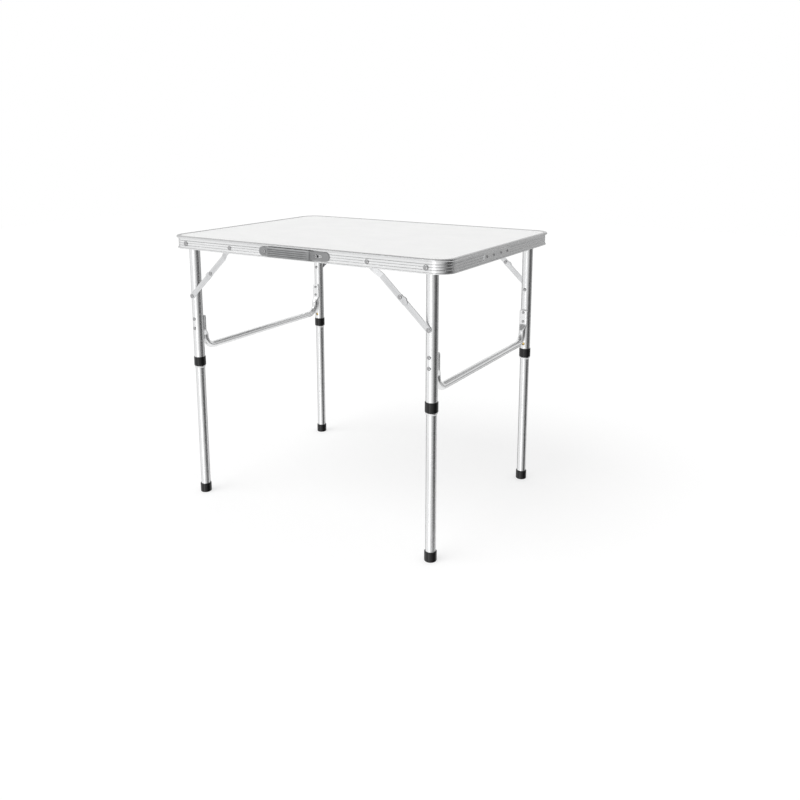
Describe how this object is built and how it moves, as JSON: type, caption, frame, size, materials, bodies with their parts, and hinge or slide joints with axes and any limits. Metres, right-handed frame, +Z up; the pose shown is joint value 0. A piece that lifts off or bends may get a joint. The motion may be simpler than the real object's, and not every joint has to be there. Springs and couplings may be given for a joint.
{
  "type": "folding camping table",
  "caption": "Small folding camping table: white board top in a ribbed aluminium rail, fold-away leg frames with knee braces, and plug-in leg extensions.",
  "frame": {"origin": "on the floor, under the middle of the table top", "axes": "+X along the long side to the right, +Y from the handle side to the far side, +Z up"},
  "size_m": [0.75, 0.5565, 0.65],
  "materials": {
    "white_board": "white laminate, satin",
    "rail_aluminium": "bright extruded",
    "leg_aluminium": "satin drawn tube",
    "black_plastic": "semi-gloss moulded",
    "grey_plastic": "satin moulded",
    "link_steel": "zinc plated, satin",
    "rivet_steel": "bright",
    "brass": "polished"
  },
  "bodies": {
    "tabletop": {"top_panel": "white_board", "edge_frame": "rail_aluminium", "splice_plate": "rail_aluminium", "splice_rivets": "rivet_steel", "handle_strap": "grey_plastic", "handle_grip": "grey_plastic", "handle_screws": "rivet_steel", "leg_pivot_bolts": "rivet_steel", "pivot_spacers": "black_plastic", "brace_rail_rivets": "rivet_steel", "left_storage_clip": "black_plastic", "right_storage_clip": "black_plastic", "clip_screws": "rivet_steel"},
    "left_leg_frame": {"left_front_leg": "leg_aluminium", "left_front_collar": "black_plastic", "left_rear_leg": "leg_aluminium", "left_rear_collar": "black_plastic", "left_cross_tube": "leg_aluminium", "left_cross_rivets": "rivet_steel", "left_brace_rivet_tails": "rivet_steel"},
    "right_leg_frame": {"right_front_leg": "leg_aluminium", "right_front_collar": "black_plastic", "right_rear_leg": "leg_aluminium", "right_rear_collar": "black_plastic", "right_cross_tube": "leg_aluminium", "right_cross_rivets": "rivet_steel", "right_brace_rivet_tails": "rivet_steel"},
    "left_front_upper_brace": {"left_front_upper_link": "link_steel", "left_front_knee_rivet": "rivet_steel"},
    "left_front_lower_brace": {"left_front_lower_link": "link_steel", "left_front_leg_rivet": "rivet_steel"},
    "left_front_extension": {"left_front_extension_tube": "leg_aluminium", "left_front_foot": "black_plastic", "left_front_button_spring": "link_steel"},
    "left_front_button": {"left_front_snap_button": "brass"},
    "left_rear_upper_brace": {"left_rear_upper_link": "link_steel", "left_rear_knee_rivet": "rivet_steel"},
    "left_rear_lower_brace": {"left_rear_lower_link": "link_steel", "left_rear_leg_rivet": "rivet_steel"},
    "left_rear_extension": {"left_rear_extension_tube": "leg_aluminium", "left_rear_foot": "black_plastic", "left_rear_button_spring": "link_steel"},
    "left_rear_button": {"left_rear_snap_button": "brass"},
    "right_front_upper_brace": {"right_front_upper_link": "link_steel", "right_front_knee_rivet": "rivet_steel"},
    "right_front_lower_brace": {"right_front_lower_link": "link_steel", "right_front_leg_rivet": "rivet_steel"},
    "right_front_extension": {"right_front_extension_tube": "leg_aluminium", "right_front_foot": "black_plastic", "right_front_button_spring": "link_steel"},
    "right_front_button": {"right_front_snap_button": "brass"},
    "right_rear_upper_brace": {"right_rear_upper_link": "link_steel", "right_rear_knee_rivet": "rivet_steel"},
    "right_rear_lower_brace": {"right_rear_lower_link": "link_steel", "right_rear_leg_rivet": "rivet_steel"},
    "right_rear_extension": {"right_rear_extension_tube": "leg_aluminium", "right_rear_foot": "black_plastic", "right_rear_button_spring": "link_steel"},
    "right_rear_button": {"right_rear_snap_button": "brass"}
  },
  "joints": [
    {"name": "left_leg_fold", "type": "hinge", "parent": "tabletop", "child": "left_leg_frame", "pos_m": [-0.325, 0, 0.6325], "axis": [0, 1, 0], "range_deg": [-88, 0]},
    {"name": "right_leg_fold", "type": "hinge", "parent": "tabletop", "child": "right_leg_frame", "pos_m": [0.325, 0, 0.6325], "axis": [0, 1, 0], "range_deg": [0, 88]},
    {"name": "left_front_brace_turn", "type": "hinge", "parent": "tabletop", "child": "left_front_upper_brace", "pos_m": [-0.187, -0.263, 0.6325], "axis": [0, 1, 0], "range_deg": [0, 43.35]},
    {"name": "left_front_knee_turn", "type": "hinge", "parent": "left_front_upper_brace", "child": "left_front_lower_brace", "pos_m": [-0.25965, -0.259, 0.56511], "axis": [0, 1, 0], "range_deg": [-177.63, 0]},
    {"name": "left_front_extension_slide", "type": "slide", "parent": "left_leg_frame", "child": "left_front_extension", "axis": [0, 0, -1], "range_m": [0, 0.072]},
    {"name": "left_front_button_press", "type": "slide", "parent": "left_front_extension", "child": "left_front_button", "axis": [0, 1, 0], "range_m": [0, 0.0035], "stiffness_N_per_m": 200, "springref_m": 0.004, "deforming": ["left_front_button_spring"]},
    {"name": "left_rear_brace_turn", "type": "hinge", "parent": "tabletop", "child": "left_rear_upper_brace", "pos_m": [-0.187, 0.263, 0.6325], "axis": [0, 1, 0], "range_deg": [0, 43.35]},
    {"name": "left_rear_knee_turn", "type": "hinge", "parent": "left_rear_upper_brace", "child": "left_rear_lower_brace", "pos_m": [-0.25965, 0.259, 0.56511], "axis": [0, 1, 0], "range_deg": [-177.63, 0]},
    {"name": "left_rear_extension_slide", "type": "slide", "parent": "left_leg_frame", "child": "left_rear_extension", "axis": [0, 0, -1], "range_m": [0, 0.072]},
    {"name": "left_rear_button_press", "type": "slide", "parent": "left_rear_extension", "child": "left_rear_button", "axis": [0, -1, 0], "range_m": [0, 0.0035], "stiffness_N_per_m": 200, "springref_m": 0.004, "deforming": ["left_rear_button_spring"]},
    {"name": "right_front_brace_turn", "type": "hinge", "parent": "tabletop", "child": "right_front_upper_brace", "pos_m": [0.187, -0.263, 0.6325], "axis": [0, 1, 0], "range_deg": [-43.35, 0]},
    {"name": "right_front_knee_turn", "type": "hinge", "parent": "right_front_upper_brace", "child": "right_front_lower_brace", "pos_m": [0.25965, -0.259, 0.56511], "axis": [0, 1, 0], "range_deg": [0, 177.63]},
    {"name": "right_front_extension_slide", "type": "slide", "parent": "right_leg_frame", "child": "right_front_extension", "axis": [0, 0, 1], "range_m": [-0.072, 0]},
    {"name": "right_front_button_press", "type": "slide", "parent": "right_front_extension", "child": "right_front_button", "axis": [0, 1, 0], "range_m": [0, 0.0035], "stiffness_N_per_m": 200, "springref_m": 0.004, "deforming": ["right_front_button_spring"]},
    {"name": "right_rear_brace_turn", "type": "hinge", "parent": "tabletop", "child": "right_rear_upper_brace", "pos_m": [0.187, 0.263, 0.6325], "axis": [0, 1, 0], "range_deg": [-43.35, 0]},
    {"name": "right_rear_knee_turn", "type": "hinge", "parent": "right_rear_upper_brace", "child": "right_rear_lower_brace", "pos_m": [0.25965, 0.259, 0.56511], "axis": [0, 1, 0], "range_deg": [0, 177.63]},
    {"name": "right_rear_extension_slide", "type": "slide", "parent": "right_leg_frame", "child": "right_rear_extension", "axis": [0, 0, 1], "range_m": [-0.072, 0]},
    {"name": "right_rear_button_press", "type": "slide", "parent": "right_rear_extension", "child": "right_rear_button", "axis": [0, -1, 0], "range_m": [0, 0.0035], "stiffness_N_per_m": 200, "springref_m": 0.004, "deforming": ["right_rear_button_spring"]}
  ],
  "couplings": [
    {"joint": "left_front_brace_turn", "follows": "left_leg_fold", "ratio": -0.4869},
    {"joint": "left_front_knee_turn", "follows": "left_leg_fold", "ratio": 2.0128},
    {"joint": "left_rear_brace_turn", "follows": "left_leg_fold", "ratio": -0.4869},
    {"joint": "left_rear_knee_turn", "follows": "left_leg_fold", "ratio": 2.0128},
    {"joint": "right_front_brace_turn", "follows": "right_leg_fold", "ratio": -0.4869},
    {"joint": "right_front_knee_turn", "follows": "right_leg_fold", "ratio": 2.0128},
    {"joint": "right_rear_brace_turn", "follows": "right_leg_fold", "ratio": -0.4869},
    {"joint": "right_rear_knee_turn", "follows": "right_leg_fold", "ratio": 2.0128}
  ]
}
